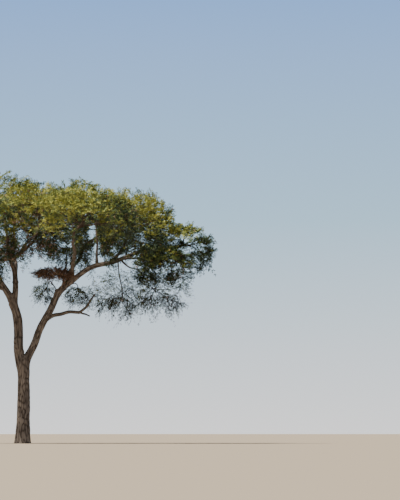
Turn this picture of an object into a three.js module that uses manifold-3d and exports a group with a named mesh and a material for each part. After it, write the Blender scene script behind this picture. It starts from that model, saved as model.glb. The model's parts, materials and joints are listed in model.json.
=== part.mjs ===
// A flat-topped acacia tree with its trunk, boughs and masses of foliage, in millimetres.
// The origin is in the trunk's flat cut at ground level, and +Z points up.
// A bearing is degrees from +X towards +Y, seen from above. A slope is degrees above level.

import * as THREE from 'three';
import { mergeVertices } from 'three/addons/utils/BufferGeometryUtils.js';
import Module from 'manifold-3d';

const wasm = await Module();
wasm.setup();

const jointGap = 0.4; // left between a limb and what it grows from
const massGap = 140; // left between the spaces of two masses
const leafGap = 25; // left between a leaf or twig and a limb
const goldenAngle = Math.PI * (3 - Math.sqrt(5));

// How every limb and every mass grows.
const habit = {
  handle: 0.36, // a limb curve's handles, as a share of its span
  sway: 0.02, // how far a limb sways to a side, as a share of its span
  swayRates: [9, 11], // radians of sway over a limb's length, sideways and upwards
  ringSpacing: 840,
  fineSpacing: 350,
  hub: 0.8, // how far a stem runs from its limb's tip to the middle of its mass
  stemTaper: 0.7,
  twigFrom: [0.45, 0.5], // where a twig leaves the stem: its least share, and what is added at random
  twigReach: 0.84, // how far a twig runs towards the edge of its room
  twigTaper: 0.4,
  sideFrom: [0.35, 0.25],
  sideLength: 0.5,
  sideLean: 60,
  leafRoot: 0.84, // how deep a leaf starts in the core, as a share of the core's reach
  leafLean: 36,
  leafTrims: [1.15, 0.95, 0.75], // the lengths tried for a leaf, until one fits its room
  leafWidth: 0.42,
  leafThickness: 0.07,
  lowest: -0.5, // how far below level the twigs and leaves of a mass point
};

const trunk = {
  height: 4620,
  footRadius: 372,
  forkRadius: 292,
  topShare: 0.55, // radius of the rounded top, as a share of the fork's
  shoulder: 0.93, // share of the height where the top starts to round over
  flare: 105, // how far the root flare stands out at the ground
  flareHeight: 330,
  toes: 5,
  lean: [-45, -20], // where the foot's middle lies, from under the fork
  bow: 30,
  sides: 18,
  rings: 13,
};

// Main limbs. along is the share of the parent's length where a limb starts, and tip where it ends.
const mainLimbs = [
  {
    name: 'left_bough', from: 'trunk', along: 0.8, tip: [-590, 60, 7330],
    leave: [180, 66], arrive: [180, 62], radius: [268, 222],
  },
  {
    name: 'right_bough', from: 'trunk', along: 0.84, tip: [1870, -60, 7960],
    leave: [0, 70], arrive: [0, 65], radius: [205, 172],
  },
  {
    name: 'middle_limb', from: 'left_bough', along: 0.94, tip: [-730, 60, 9570],
    leave: [0, 84], arrive: [180, 62], radius: [165, 112],
  },
];

// The bare dead limb low on the right bough: its stem, then the rising end and the short spur
// that it forks into.
const deadLimbCarrier = 'right_bough';
const deadLimb = [
  { along: 0.58, tip: [2930, -150, 6790], leave: [0, 42], arrive: [0, -6], radius: [88, 60] },
  { along: 0.97, tip: [3720, -290, 7740], leave: [0, 22], arrive: [0, 52], radius: [54, 20] },
  { along: 0.94, tip: [3440, -90, 6610], leave: [0, -4], arrive: [0, -24], radius: [36, 15] },
];

// Each mass of foliage fills an ellipsoid about its middle, cut off level at its floor.
// size is half its reach outwards, across and up. floor is a share of the upward size.
// Its own limb enters it at foot, given from its middle. crowd is its number of leaves.
const densePlan = { floor: 0.58, tilt: 0, core: 0.68, twigs: 4, sides: 0, crowd: 23, leaf: 1000 };
const sparsePlan = { floor: 0.95, tilt: 0, core: 0, twigs: 6, sides: 1, crowd: 13, leaf: 640 };

const crownMasses = [
  {
    name: 'center', middle: [-1300, 100, 12590], bearing: 180, size: [2900, 2700, 1560], foot: [250, 0, -790],
    limb: { from: 'middle_limb', along: 0.96, leave: 80, arrive: 82, radius: [98, 62] },
  },
  {
    name: 'inner_right', middle: [2500, 0, 12300], bearing: 0, size: [2200, 2500, 1420],
    foot: [1260, 50, -730],
    limb: { from: 'tip_right', along: 0.385, leave: 88, arrive: 87, radius: [68, 46] },
  },
  {
    name: 'right', middle: [5650, 0, 11450], bearing: 0, tilt: 14, size: [2750, 3000, 1760], floor: 0.74,
    foot: [-450, 150, -1180],
    limb: { from: 'tip_right', along: 0.5, leave: 52, arrive: 70, radius: [88, 64] },
  },
  {
    name: 'tip_right', middle: [8500, 100, 10430], bearing: 0, tilt: 24, size: [1760, 1950, 980], floor: 0.9,
    foot: [-880, 0, -330],
    limb: { name: 'right_arm', from: 'right_bough', along: 0.97, leave: 44, arrive: 4, radius: [165, 66] },
  },
  {
    name: 'left', middle: [-6500, -1150, 11450], bearing: 190, tilt: 13, size: [2450, 3200, 1450],
    foot: [1250, 320, -650],
    limb: { name: 'left_limb', from: 'left_bough', along: 0.96, leave: 67, arrive: 14, radius: [185, 74] },
  },
];

// The rest of the crown stands in two rings. The limb of an inner mass leaves its outer one's.
const ringPlans = {
  inner: {
    level: 11900, size: [2250, 2600, 1270], floor: 0.58, tilt: 4, crowd: 22,
    foot: 0.15, arrive: 74, radius: [66, 44],
  },
  outer: {
    level: 11300, size: [2500, 3300, 1450], floor: 0.7, tilt: 13, crowd: 25,
    foot: 0.5, arrive: 17, radius: [112, 62],
  },
};
const ringMasses = [
  {
    name: 'back_right', ring: 'outer', bearing: 47, reach: 6550, lift: 200,
    limb: { from: 'tip_right', along: 0.07, leave: 48 },
  },
  {
    name: 'back', ring: 'outer', bearing: 98, reach: 6600, lift: 350,
    limb: { from: 'middle_limb', along: 0.5, leave: 40 },
  },
  {
    name: 'back_left', ring: 'outer', bearing: 145, reach: 6650,
    limb: { from: 'left', along: 0.34, leave: 40 },
  },
  {
    name: 'front_left', ring: 'outer', bearing: 241, reach: 6500,
    limb: { from: 'left', along: 0.2, leave: 46 },
  },
  {
    name: 'front_right', ring: 'outer', bearing: 302, reach: 6450,
    limb: { from: 'tip_right', along: 0.15, leave: 46 },
  },
  {
    name: 'inner_back_right', ring: 'inner', bearing: 71, reach: 3500,
    limb: { from: 'back', along: 0.4, leave: 50 },
  },
  {
    name: 'inner_back_left', ring: 'inner', bearing: 136, reach: 4250,
    limb: { from: 'back_left', along: 0.4, leave: 56 },
  },
  {
    name: 'inner_left', ring: 'inner', bearing: 184, reach: 4700,
    limb: { from: 'left', along: 0.62, leave: 56 },
  },
  {
    name: 'inner_front_left', ring: 'inner', bearing: 227, reach: 4350,
    limb: { from: 'front_left', along: 0.5, leave: 58 },
  },
  {
    name: 'inner_front_right', ring: 'inner', bearing: 287, reach: 3450,
    limb: { from: 'mid_front', along: 0.45, leave: 40 },
  },
];

// Masses under the crown: a dense lower layer, then open foliage that hangs.
const lowerMasses = [
  {
    name: 'under_right', middle: [7400, -450, 9420], bearing: 0,
    size: [2000, 1900, 800], floor: 0.9, crowd: 20, foot: [-1350, 100, 140],
    limb: { from: 'tip_right', along: 0.6, leave: 0, arrive: -20, radius: [62, 44] },
  },
  {
    name: 'mid_front', middle: [300, -1150, 11000], bearing: 0,
    size: [1700, 1300, 720], floor: 0.8, crowd: 20, foot: [330, 650, -380],
    limb: { from: 'middle_limb', along: 0.97, leave: 38, arrive: 50, radius: [92, 60] },
  },
  {
    name: 'low_left', middle: [-2350, -1300, 9980], bearing: 180,
    size: [1750, 1500, 1300], floor: 0.85, crowd: 21, foot: [-700, 300, -960],
    limb: { from: 'left', along: 0.13, leave: 30, arrive: 55, radius: [78, 52] },
  },
  {
    name: 'under_inner', middle: [2350, 950, 10250], bearing: 0, size: [1600, 1500, 1050], open: true,
    foot: [-150, -150, -540],
    limb: { from: 'tip_right', along: 0.035, leave: 62, arrive: 80, radius: [62, 40] },
  },
  {
    name: 'weep_mid', middle: [4800, -100, 7650], bearing: 0, size: [1350, 1200, 1400], open: true,
    foot: [400, 40, -250],
    limb: { from: 'tip_right', along: 0.56, leave: -84, arrive: -80, radius: [36, 22] },
  },
  {
    name: 'weep_right', middle: [7000, -100, 7700], bearing: 0,
    size: [1650, 1500, 1330], open: true, crowd: 16, foot: [-800, 0, 1010],
    limb: { from: 'tip_right', along: 0.59, leave: -70, arrive: -60, radius: [48, 32] },
  },
  {
    name: 'weep_left', middle: [-6100, -900, 8850], bearing: 180,
    size: [1650, 1700, 1150], open: true, crowd: 15, foot: [700, 300, 850],
    limb: { from: 'left', along: 0.86, leave: -60, arrive: -70, radius: [56, 38] },
  },
  {
    name: 'weep_back', middle: [-3500, 6100, 8750], bearing: 120,
    size: [1500, 1500, 1100], open: true, crowd: 14, foot: [-300, -650, 850],
    limb: { from: 'back_left', along: 0.8, leave: -55, arrive: -70, radius: [52, 36] },
  },
  {
    name: 'weep_front', middle: [-3600, -5500, 8650], bearing: 240,
    size: [1500, 1400, 1050], open: true, crowd: 14, foot: [300, 650, 800],
    limb: { from: 'front_left', along: 0.78, leave: -50, arrive: -70, radius: [52, 36] },
  },
  {
    name: 'spray_left', middle: [1020, 250, 7780], bearing: 0,
    size: [660, 640, 860], open: true, crowd: 12, leaf: 430, foot: [300, -60, 600],
    limb: { from: 'right_bough', along: 0.96, leave: 55, arrive: -62, radius: [34, 22] },
  },
  {
    name: 'spray_right', middle: [2850, 200, 7620], bearing: 0,
    size: [950, 750, 800], open: true, crowd: 13, leaf: 480, foot: [-60, 60, 600],
    limb: { from: 'tip_right', along: 0.1, leave: 0, arrive: -70, radius: [34, 22] },
  },
  {
    name: 'dead_spray', middle: [1600, -480, 8740], bearing: 0,
    size: [1250, 560, 400], open: true, crowd: 14, leaf: 430, foot: [560, 130, -150],
    limb: { from: 'right_bough', along: 0.975, leave: 60, arrive: 70, radius: [44, 30] },
  },
];

const finishes = {
  bark: { color: 0x5b4c43, roughness: 0.95 },
  deadWood: { color: 0x6f6660, roughness: 0.95 },
  foliage: { color: 0x737236, roughness: 0.8 },
  shade: { color: 0x4d5136, roughness: 0.8 },
  withered: { color: 0x6b4a38, roughness: 0.9 },
};

// Vectors, random numbers and solids

function vector(values) {
  return new THREE.Vector3(...values);
}

function heading(bearing, slope) {
  const [turn, rise] = [bearing, slope].map(THREE.MathUtils.degToRad);
  return new THREE.Vector3(Math.cos(turn) * Math.cos(rise), Math.sin(turn) * Math.cos(rise), Math.sin(rise));
}

function bearingTo(from, to) {
  return THREE.MathUtils.radToDeg(Math.atan2(to.y - from.y, to.x - from.x));
}

// Gives the same run of numbers from 0 to 1 for the same seed.
function seeded(seed) {
  let state = seed >>> 0;
  return () => {
    state = (state + 0x6d2b79f5) >>> 0;
    let mixed = Math.imul(state ^ (state >>> 15), state | 1);
    mixed ^= mixed + Math.imul(mixed ^ (mixed >>> 7), mixed | 61);
    return ((mixed ^ (mixed >>> 14)) >>> 0) / 4294967296;
  };
}

// Merges the shape's shared corners and moves each one to where place puts it.
function shapedSolid(geometry, place) {
  geometry.deleteAttribute('normal');
  geometry.deleteAttribute('uv');
  const shape = mergeVertices(geometry);
  const corners = shape.attributes.position;
  const corner = new THREE.Vector3();
  for (let i = 0; i < corners.count; i += 1) {
    corners.setXYZ(i, ...place(corner.fromBufferAttribute(corners, i)).toArray());
  }
  return new wasm.Manifold(new wasm.Mesh({
    numProp: 3,
    vertProperties: new Float32Array(corners.array),
    triVerts: new Uint32Array(shape.index.array),
  }));
}

function largestPiece(solid) {
  const pieces = solid.decompose().sort((a, b) => b.volume() - a.volume());
  return pieces[0];
}

function toMesh(name, solid, finish) {
  const { vertProperties, triVerts } = solid.getMesh();
  const geometry = new THREE.BufferGeometry();
  geometry.setAttribute('position', new THREE.BufferAttribute(vertProperties, 3));
  geometry.setIndex(new THREE.BufferAttribute(triVerts, 1));
  geometry.computeVertexNormals();
  const mesh = new THREE.Mesh(geometry, new THREE.MeshStandardMaterial({ ...finish, metalness: 0 }));
  mesh.name = name;
  return mesh;
}

// Limbs

// A limb's centre line: a cubic curve that sways a little to both sides between its ends.
class LimbLine extends THREE.CubicBezierCurve3 {
  constructor(start, leave, tip, arrive, seed) {
    const span = start.distanceTo(tip);
    const handle = habit.handle * span;
    super(
      start,
      start.clone().addScaledVector(leave, handle),
      tip.clone().addScaledVector(arrive, -handle),
      tip,
    );
    const random = seeded(seed);
    this.sway = habit.sway * span;
    this.phases = [random(), random()].map((share) => 2 * Math.PI * share);
    this.side = heading(bearingTo(start, tip) + 90, 0);
  }

  getPoint(t, target = new THREE.Vector3()) {
    super.getPoint(t, target);
    const swing = this.sway * Math.sin(Math.PI * t) ** 2;
    const [aside, upward] = habit.swayRates.map((rate, i) => swing * Math.sin(rate * t + this.phases[i]));
    target.addScaledVector(this.side, aside);
    target.z += upward;
    return target;
  }
}

function sidesFor(radius) {
  if (radius > 140) return 9;
  return radius > 50 ? 6 : 5;
}

// A tapering tube round the line, made larger all over by grow.
function tube(line, radius, grow = 0, spacing = habit.ringSpacing) {
  const rings = Math.max(2, Math.round(line.getLength() / spacing));
  const { tangents, normals, binormals } = line.computeFrenetFrames(rings);
  const ends = new Map([[0, -grow], [rings, grow]]);
  const place = ({ x, y, z }) => {
    const share = 0.5 - y;
    const ring = Math.round(share * rings);
    const across = THREE.MathUtils.lerp(...radius, share) + grow;
    return line.getPointAt(ring / rings)
      .addScaledVector(tangents[ring], ends.get(ring) ?? 0)
      .addScaledVector(normals[ring], x * across)
      .addScaledVector(binormals[ring], z * across);
  };
  return shapedSolid(new THREE.CylinderGeometry(1, 1, 1, sidesFor(radius[0]), rings), place);
}

function trunkRadius(height, angle) {
  const { footRadius, forkRadius, topShare, shoulder, flare, flareHeight, toes } = trunk;
  const share = height / trunk.height;
  const taper = THREE.MathUtils.lerp(footRadius, forkRadius, Math.min(share / shoulder, 1));
  const rounding = THREE.MathUtils.lerp(1, topShare, Math.max(0, (share - shoulder) / (1 - shoulder)) ** 2);
  const toe = 0.62 + 0.38 * Math.cos(toes * angle + 1.1);
  return taper * rounding + flare * toe * Math.exp(-height / flareHeight);
}

class TrunkLine extends THREE.Curve {
  getPoint(t, target = new THREE.Vector3()) {
    const left = (1 - t) ** 2;
    const bow = trunk.bow * Math.sin(Math.PI * t);
    return target.set(trunk.lean[0] * left + bow, trunk.lean[1] * left, trunk.height * t);
  }
}

// The trunk's rings are level, and closer together near the ground.
function trunkSolid(line, grow = 0) {
  const place = ({ x, y, z }) => {
    const share = (y + 0.5) ** 1.5;
    const axis = line.getPoint(share);
    const angle = Math.atan2(-z, x);
    const out = Math.hypot(x, z) * (trunkRadius(axis.z, angle) + grow);
    return axis.add(new THREE.Vector3(out * Math.cos(angle), out * Math.sin(angle), y > 0.49 ? grow : 0));
  };
  return shapedSolid(new THREE.CylinderGeometry(1, 1, 1, trunk.sides, trunk.rings), place);
}

const limbs = new Map();

function keepLimb(name, line, radius, solid, grown) {
  const steps = Math.max(4, Math.round(line.getLength() / 500));
  const points = line.getSpacedPoints(steps);
  const parts = points.slice(1).map((point, i) => ({
    span: new THREE.Line3(points[i], point),
    radius: THREE.MathUtils.lerp(...radius, i / steps),
  }));
  limbs.set(name, { name, line, radius, solid, grown, parts });
}

// Starts on its parent's centre line, and is cut back to lie clear of every earlier limb.
function growLimb({ name, from, along, tip, leave, arrive, radius }) {
  const start = limbs.get(from).line.getPointAt(along);
  const end = vector(tip);
  const toTip = bearingTo(start, end);
  const headingOf = (way) => (Array.isArray(way) ? heading(...way) : heading(toTip, way));
  const line = new LimbLine(start, headingOf(leave), end, headingOf(arrive), limbs.size);
  const earlier = [...limbs.values()].map((limb) => limb.grown);
  const solid = largestPiece(earlier.reduce((rest, limb) => rest.subtract(limb), tube(line, radius)));
  keepLimb(name, line, radius, solid, tube(line, radius, jointGap));
}

function growDeadLimb() {
  const [stem, ...ends] = deadLimb;
  const lineOf = (part, parent, seed) => new LimbLine(
    parent.getPointAt(part.along), heading(...part.leave), vector(part.tip), heading(...part.arrive), seed,
  );
  const stemLine = lineOf(stem, limbs.get(deadLimbCarrier).line, limbs.size);
  const tubes = [tube(stemLine, stem.radius, 0, habit.fineSpacing)];
  ends.forEach((part, i) => {
    tubes.push(tube(lineOf(part, stemLine, i), part.radius, 0, habit.fineSpacing));
  });
  const whole = wasm.Manifold.union(tubes);
  const earlier = [...limbs.values()].map((limb) => limb.grown);
  const solid = largestPiece(earlier.reduce((rest, limb) => rest.subtract(limb), whole));
  keepLimb('dead_limb', stemLine, stem.radius, solid, whole);
}

// Masses of foliage

// The room that a mass keeps to: an ellipsoid cut by flat planes, so it is convex.
class Space {
  constructor({ middle, size, bearing, tilt, floor }) {
    this.middle = vector(middle);
    this.size = size;
    this.axes = [heading(bearing, -tilt), heading(bearing + 90, 0), heading(bearing, 90 - tilt)];
    const down = new THREE.Vector3(0, 0, -1);
    this.planes = [new THREE.Plane().setFromNormalAndCoplanarPoint(
      down, this.middle.clone().addScaledVector(down, floor * size[2]),
    )];
  }

  // How far the ellipsoid reaches from its middle that way.
  radiusTo(way) {
    return 1 / Math.hypot(...this.axes.map((axis, i) => way.dot(axis) / this.size[i]));
  }

  // How far the room itself reaches from its middle that way.
  reach(way) {
    const limits = this.planes.map((plane) => {
      const rate = plane.normal.dot(way);
      return rate > 0 ? -plane.distanceToPoint(this.middle) / rate : Infinity;
    });
    return Math.min(this.radiusTo(way), ...limits);
  }

  contains(point) {
    const from = point.clone().sub(this.middle);
    const length = from.length();
    return length < 1 || length <= this.reach(from.divideScalar(length));
  }

  // Even ways out from the middle, the first pointing up and the last one down to lowest.
  way(index, count, lowest, turn) {
    const rise = 1 - ((index + 0.5) / count) * (1 - lowest);
    const level = Math.sqrt(1 - rise * rise);
    const angle = index * goldenAngle + turn;
    const parts = [level * Math.cos(angle), level * Math.sin(angle), rise];
    const way = new THREE.Vector3();
    parts.forEach((part, i) => way.addScaledVector(this.axes[i], part * this.size[i]));
    return way.normalize();
  }
}

// Puts a plane with massGap between two neighbouring spaces, nearer to the smaller one.
function partSpaces(one, other) {
  const way = other.middle.clone().sub(one.middle);
  const apart = way.length();
  if (apart > Math.max(...one.size) + Math.max(...other.size)) return;
  way.divideScalar(apart);
  const [near, far] = [one.radiusTo(way), other.radiusTo(way)];
  const at = (apart * near) / (near + far);
  [[one, way, at], [other, way.clone().negate(), apart - at]].forEach(([space, normal, share]) => {
    const point = space.middle.clone().addScaledVector(normal, share - massGap / 2);
    space.planes.push(new THREE.Plane().setFromNormalAndCoplanarPoint(normal, point));
  });
}

// True where a leaf or twig from root to end lies clear of every limb.
function clearOfLimbs(root, end, halfWidth) {
  const line = new THREE.Line3(root, end);
  return [...limbs.values()].every(({ parts }) => parts.every(({ span, radius }) => (
    Math.sqrt(span.distanceSqToLine3(line, new THREE.Vector3(), new THREE.Vector3()))
      > radius + halfWidth + leafGap
  )));
}

// A leaf blade of eight faces from its root along way, turned about its length by roll.
function leafSolid(root, way, length, roll) {
  const width = habit.leafWidth * length;
  const thickness = habit.leafThickness * length;
  const turned = new THREE.Quaternion().setFromUnitVectors(new THREE.Vector3(1, 0, 0), way);
  const place = ({ x, y, z }) => new THREE.Vector3((x + 1) * length / 2, y * width / 2, z * thickness / 2)
    .applyAxisAngle(new THREE.Vector3(1, 0, 0), roll)
    .applyQuaternion(turned)
    .add(root);
  return shapedSolid(new THREE.OctahedronGeometry(1), place);
}

// A three-sided twig from root to end.
function twigSolid(root, end, radius) {
  const way = end.clone().sub(root);
  const turned = new THREE.Quaternion()
    .setFromUnitVectors(new THREE.Vector3(0, 1, 0), way.clone().normalize());
  const place = ({ x, y, z }) => new THREE.Vector3(x, 0, z)
    .multiplyScalar(THREE.MathUtils.lerp(...radius, y + 0.5))
    .applyQuaternion(turned)
    .add(root)
    .addScaledVector(way, y + 0.5);
  return shapedSolid(new THREE.CylinderGeometry(1, 1, 1, 3, 1), place);
}

// The dense inside of a mass: its own space shrunk towards the middle, clear of the limbs.
function coreSolid(space, share, random) {
  const place = (corner) => {
    const way = corner.clone().normalize();
    return way.clone().multiplyScalar(space.reach(way) * share * (0.93 + 0.1 * random())).add(space.middle);
  };
  const core = shapedSolid(new THREE.IcosahedronGeometry(1, 1), place);
  const roomy = [...limbs.values()].map(({ line, radius }) => tube(line, radius, leafGap));
  return roomy.reduce((rest, limb) => rest.subtract(limb), core);
}

// Leans way aside by up to most degrees, in a random direction.
function leanAside(way, most, random) {
  const side = new THREE.Vector3(random() - 0.5, random() - 0.5, random() - 0.5).cross(way).normalize();
  return way.clone().applyAxisAngle(side, THREE.MathUtils.degToRad(most * random()));
}

// A stem from the limb's tip, twigs from the stem to even places round the space, side twigs
// on those, and leaves that stand out of the twigs and of the core.
function growMass({ core, twigs, sides, crowd, leaf, limb }, space, seed) {
  const random = seeded(seed);
  const carrier = limbs.get(limb.name);
  const tip = carrier.line.getPointAt(1);
  const onward = carrier.line.getTangentAt(1);
  const stemRadius = carrier.radius[1];
  const foot = tip.clone().addScaledVector(onward, jointGap);
  const hub = tip.clone().lerp(space.middle, habit.hub);
  const { lowest } = habit;
  const bend = foot.clone().addScaledVector(onward, 0.4 * foot.distanceTo(hub));
  const stem = new THREE.QuadraticBezierCurve3(foot, bend, hub);
  const solids = [tube(stem, [stemRadius, habit.stemTaper * stemRadius])];
  const shoots = [];
  const addTwig = (root, end, thick) => {
    const fits = space.contains(end) && clearOfLimbs(root, end, thick);
    if (fits) solids.push(twigSolid(root, end, [thick, habit.twigTaper * thick]));
    if (fits) shoots.push([root, end, thick]);
    return fits;
  };
  const addLeaf = (root, way, length) => {
    const end = root.clone().addScaledVector(way, length);
    const fits = space.contains(end) && clearOfLimbs(root, end, habit.leafWidth * length / 2);
    if (fits) solids.push(leafSolid(root, way, length, 2 * Math.PI * random()));
    return fits;
  };

  const someShare = ([least, extra]) => least + extra * random();
  const turn = 2 * Math.PI * random();
  for (let i = 0; i < twigs; i += 1) {
    const way = space.way(i, twigs, lowest, turn);
    const end = space.middle.clone().addScaledVector(way, habit.twigReach * space.reach(way));
    const root = stem.getPointAt(someShare(habit.twigFrom));
    const thick = 0.5 * stemRadius;
    if (!addTwig(root, end, thick)) continue;
    for (let side = 0; side < sides; side += 1) {
      const start = root.clone().lerp(end, someShare(habit.sideFrom));
      const aside = leanAside(end.clone().sub(root).normalize(), habit.sideLean, random);
      const length = habit.sideLength * root.distanceTo(end);
      addTwig(start, start.clone().addScaledVector(aside, length), 0.65 * thick);
    }
  }

  if (core) solids.push(coreSolid(space, core, random));
  const onCore = core ? crowd - shoots.length : 0;
  for (let i = 0; i < onCore; i += 1) {
    const way = space.way(i, onCore, lowest, turn + 1);
    const reach = space.reach(way);
    const depth = habit.leafRoot * core * reach;
    const root = space.middle.clone().addScaledVector(way, depth);
    const room = reach - depth;
    const leaned = leanAside(way, habit.leafLean, random);
    habit.leafTrims.some((share) => addLeaf(root, leaned, share * Math.min(leaf, room)));
  }
  for (let i = 0; i < crowd - onCore; i += 1) {
    const [root, end, thick] = shoots[i % shoots.length];
    const round = Math.floor(i / shoots.length);
    const along = end.clone().sub(root).normalize();
    const start = root.clone().lerp(end, 0.97 - 0.3 * round).addScaledVector(along, -thick);
    const way = leanAside(along, 25 + 25 * round, random);
    const length = leaf * (0.8 + 0.25 * random());
    habit.leafTrims.some((share) => addLeaf(start, way, share * length));
  }
  return largestPiece(wasm.Manifold.union(solids)).simplify(0.05);
}

// The tree

function ringMass({ name, ring, bearing, reach, lift = 0, limb }) {
  const { level, size, floor, tilt, crowd, foot, arrive, radius } = ringPlans[ring];
  const out = heading(bearing, 0);
  return {
    name, bearing, tilt, size, floor, crowd,
    middle: [out.x * reach, out.y * reach, level + lift],
    foot: [-out.x * foot * size[0], -out.y * foot * size[0], -0.44 * size[2]],
    limb: { ...limb, arrive, radius },
  };
}

const masses = [...crownMasses, ...ringMasses.map(ringMass), ...lowerMasses]
  .map((mass) => ({ ...(mass.open ? sparsePlan : densePlan), ...mass }))
  .map((mass) => ({ ...mass, limb: { name: `limb_${mass.name}`, ...mass.limb } }));
const limbOf = new Map(masses.map(({ name, limb }) => [name, limb.name]));

const trunkLine = new TrunkLine();
const trunkRadii = [trunk.footRadius, trunk.forkRadius];
keepLimb('trunk', trunkLine, trunkRadii, trunkSolid(trunkLine), trunkSolid(trunkLine, jointGap));
mainLimbs.forEach(growLimb);

// A mass's limb grows once the limb that carries it has.
const waiting = [...masses];
while (waiting.length) {
  const ready = waiting.findIndex(({ limb }) => limbs.has(limbOf.get(limb.from) ?? limb.from));
  const [{ middle, foot, limb }] = waiting.splice(ready, 1);
  const tip = middle.map((value, i) => value + foot[i]);
  growLimb({ ...limb, from: limbOf.get(limb.from) ?? limb.from, tip });
}
growDeadLimb();

const spaces = masses.map((mass) => new Space(mass));
spaces.forEach((one, i) => spaces.slice(i + 1).forEach((other) => partSpaces(one, other)));

const tree = new THREE.Group();
limbs.forEach(({ name, solid }) => {
  tree.add(toMesh(name, solid.simplify(0.05), name === 'dead_limb' ? finishes.deadWood : finishes.bark));
});
masses.forEach((mass, i) => {
  const finish = mass.open ? finishes.shade : finishes.foliage;
  const solid = growMass(mass, spaces[i], 100 + i);
  tree.add(toMesh(`foliage_${mass.name}`, solid, mass.name === 'dead_spray' ? finishes.withered : finish));
});

export default tree;
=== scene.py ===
# Dresses a flat-topped acacia tree: bark over the trunk and boughs, then branches, twigs and leaves.
# Sizes are metres. A bearing is degrees from +X towards +Y, and a slope is degrees above level.
import json
import math
import time
import bmesh
import bpy
import numpy as np
from itertools import combinations
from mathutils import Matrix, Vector
from mathutils.kdtree import KDTree

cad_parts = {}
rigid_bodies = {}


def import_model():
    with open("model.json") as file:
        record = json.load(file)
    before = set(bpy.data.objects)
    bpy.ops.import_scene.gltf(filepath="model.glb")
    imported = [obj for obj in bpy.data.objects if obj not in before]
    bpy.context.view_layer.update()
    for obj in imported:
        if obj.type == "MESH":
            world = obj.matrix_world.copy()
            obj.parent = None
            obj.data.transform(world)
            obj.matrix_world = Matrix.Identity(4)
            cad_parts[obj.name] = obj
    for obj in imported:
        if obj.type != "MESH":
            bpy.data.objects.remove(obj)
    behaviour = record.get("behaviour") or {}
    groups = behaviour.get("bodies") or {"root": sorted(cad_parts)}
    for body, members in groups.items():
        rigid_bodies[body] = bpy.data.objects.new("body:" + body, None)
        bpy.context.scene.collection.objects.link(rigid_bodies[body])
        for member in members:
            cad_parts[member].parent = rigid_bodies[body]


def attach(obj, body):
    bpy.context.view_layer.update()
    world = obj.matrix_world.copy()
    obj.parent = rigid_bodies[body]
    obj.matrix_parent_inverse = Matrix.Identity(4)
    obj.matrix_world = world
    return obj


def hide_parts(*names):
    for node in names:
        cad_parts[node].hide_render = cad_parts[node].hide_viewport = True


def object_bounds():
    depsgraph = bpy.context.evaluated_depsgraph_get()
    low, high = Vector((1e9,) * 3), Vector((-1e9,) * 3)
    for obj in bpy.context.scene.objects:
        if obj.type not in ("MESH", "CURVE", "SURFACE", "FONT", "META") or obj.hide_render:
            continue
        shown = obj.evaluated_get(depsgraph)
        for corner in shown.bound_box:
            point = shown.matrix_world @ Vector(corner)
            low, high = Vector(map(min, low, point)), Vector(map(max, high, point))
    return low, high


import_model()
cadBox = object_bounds()
started = time.time()


def report(text):
    print(f"{time.time() - started:6.1f} s  {text}", flush=True)


report("frame loaded")


def newPiece(name, data):
    piece = bpy.data.objects.new(name, data)
    bpy.context.collection.objects.link(piece)
    return piece


def newMesh(name, corners, edges=(), faces=()):
    mesh = bpy.data.meshes.new(name)
    mesh.from_pydata(np.asarray(corners, float).tolist(), edges, faces)
    return mesh


# Adds a node, gives each input a value or another node's output, and returns one of its outputs.
def outputOf(tree, kind, inputs=None, output=0, **settings):
    node = tree.nodes.new(kind)
    for setting, value in settings.items():
        setattr(node, setting, value)
    for label, value in (inputs or {}).items():
        if isinstance(value, bpy.types.NodeSocket):
            tree.links.new(value, node.inputs[label])
        else:
            node.inputs[label].default_value = value
    return node.outputs[output]


# Camera, light and floor

view = dict(
    camera=(9.17, -200.0, 0.6),
    aim=(9.17, 0.0, 10.05),
    tallSide=26.0,  # metres that fit the picture's long side at the tree
    sensor=36.0,
    sunFrom=(-0.5, -0.24, 0.83),
    sunPower=8.7,
    sunColor=(1.0, 0.94, 0.82),
    sunSoftness=3.0,  # degrees
    fillColor=(0.56, 0.6, 0.66),
    fillPower=0.66,
    backdrop=((1.2, 1.2, 1.21), (0.56, 0.84, 1.06), (0.24, 0.48, 1.08)),
    backdropRises=(0.0, 0.055, 0.13),  # how steeply a sight line rises to each of its colours
    floorReach=900.0,
    floorColor=(0.35, 0.29, 0.225),
)


def plainShader(name, color, roughness, specular=0.3):
    material = bpy.data.materials.new(name)
    material.use_nodes = True
    shader = material.node_tree.nodes["Principled BSDF"]
    shader.inputs["Base Color"].default_value = (*color, 1.0)
    shader.inputs["Roughness"].default_value = roughness
    shader.inputs["Specular IOR Level"].default_value = specular
    return material


def ramp(tree, fac, colors, places):
    color = outputOf(tree, "ShaderNodeValToRGB", {"Fac": fac})
    elements = color.node.color_ramp.elements
    while len(elements) < len(colors):
        elements.new(0.5)
    for element, shade, place in zip(elements, colors, places):
        element.position = place
        element.color = (*shade, 1.0)
    return color


def makeCamera():
    data = bpy.data.cameras.new("viewCamera")
    camera = newPiece("viewCamera", data)
    place, aim = Vector(view["camera"]), Vector(view["aim"])
    sight = aim - place
    data.sensor_width = view["sensor"]
    data.lens = view["sensor"] * sight.length / view["tallSide"]
    data.clip_end = 2 * view["floorReach"]
    camera.location = place
    camera.rotation_euler = sight.to_track_quat("-Z", "Y").to_euler()
    bpy.context.scene.camera = camera


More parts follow.
